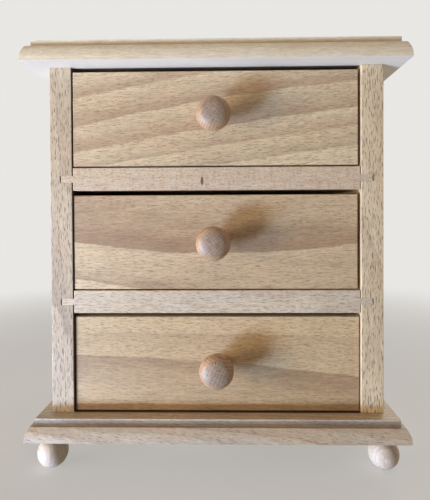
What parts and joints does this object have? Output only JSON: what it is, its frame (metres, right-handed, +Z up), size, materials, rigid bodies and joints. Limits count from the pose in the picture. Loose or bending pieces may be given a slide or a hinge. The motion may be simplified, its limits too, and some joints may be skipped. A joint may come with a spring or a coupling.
{
  "type": "three-drawer tabletop chest",
  "caption": "Small beech tabletop chest with stacked drawers between tongued shelves, turned knobs, moulded top and base plates, and ball feet.",
  "frame": {"origin": "middle of the whole chest in plan, on the surface that its feet stand on", "axes": "+X to the right seen from the front, +Y to the back, +Z up"},
  "size_m": [0.2246, 0.1595, 0.2544],
  "materials": {
    "beech_plates": "planed and sanded beech, thin matt lacquer",
    "beech_panels": "planed and sanded beech with upright grain and ray flecks, thin matt lacquer",
    "beech_shelves": "planed and sanded pale beech, thin matt lacquer",
    "beech_fronts": "flat-sawn beech with lengthwise grain, thin matt lacquer",
    "beech_turned": "turned beech, thin satin lacquer",
    "beech_boxes": "planed beech, bare",
    "plywood": "thin birch plywood, bare",
    "dowel_wood": "plain birch dowel, bare",
    "zinc_steel": "zinc-plated steel"
  },
  "bodies": {
    "chest": {"base_plate": "beech_plates", "top_plate": "beech_plates", "left_side_panel": "beech_panels", "right_side_panel": "beech_panels", "lower_shelf": "beech_shelves", "upper_shelf": "beech_shelves", "back_panel": "plywood", "front_left_foot": "beech_turned", "front_right_foot": "beech_turned", "back_left_foot": "beech_turned", "back_right_foot": "beech_turned", "foot_dowels": "dowel_wood", "base_screws": "zinc_steel", "top_dowels": "dowel_wood", "back_pins": "zinc_steel"},
    "bottom_drawer": {"bottom_drawer_front": "beech_fronts", "bottom_drawer_left_side": "beech_boxes", "bottom_drawer_right_side": "beech_boxes", "bottom_drawer_back": "beech_boxes", "bottom_drawer_floor": "plywood", "bottom_drawer_knob": "beech_turned", "bottom_drawer_knob_screw": "zinc_steel", "bottom_drawer_pins": "zinc_steel"},
    "middle_drawer": {"middle_drawer_front": "beech_fronts", "middle_drawer_left_side": "beech_boxes", "middle_drawer_right_side": "beech_boxes", "middle_drawer_back": "beech_boxes", "middle_drawer_floor": "plywood", "middle_drawer_knob": "beech_turned", "middle_drawer_knob_screw": "zinc_steel", "middle_drawer_pins": "zinc_steel"},
    "top_drawer": {"top_drawer_front": "beech_fronts", "top_drawer_left_side": "beech_boxes", "top_drawer_right_side": "beech_boxes", "top_drawer_back": "beech_boxes", "top_drawer_floor": "plywood", "top_drawer_knob": "beech_turned", "top_drawer_knob_screw": "zinc_steel", "top_drawer_pins": "zinc_steel"}
  },
  "joints": [
    {"name": "bottom_drawer_slide", "type": "slide", "parent": "chest", "child": "bottom_drawer", "axis": [0, -1, 0], "range_m": [0, 0.11]},
    {"name": "middle_drawer_slide", "type": "slide", "parent": "chest", "child": "middle_drawer", "axis": [0, -1, 0], "range_m": [0, 0.11]},
    {"name": "top_drawer_slide", "type": "slide", "parent": "chest", "child": "top_drawer", "axis": [0, -1, 0], "range_m": [0, 0.11]}
  ]
}
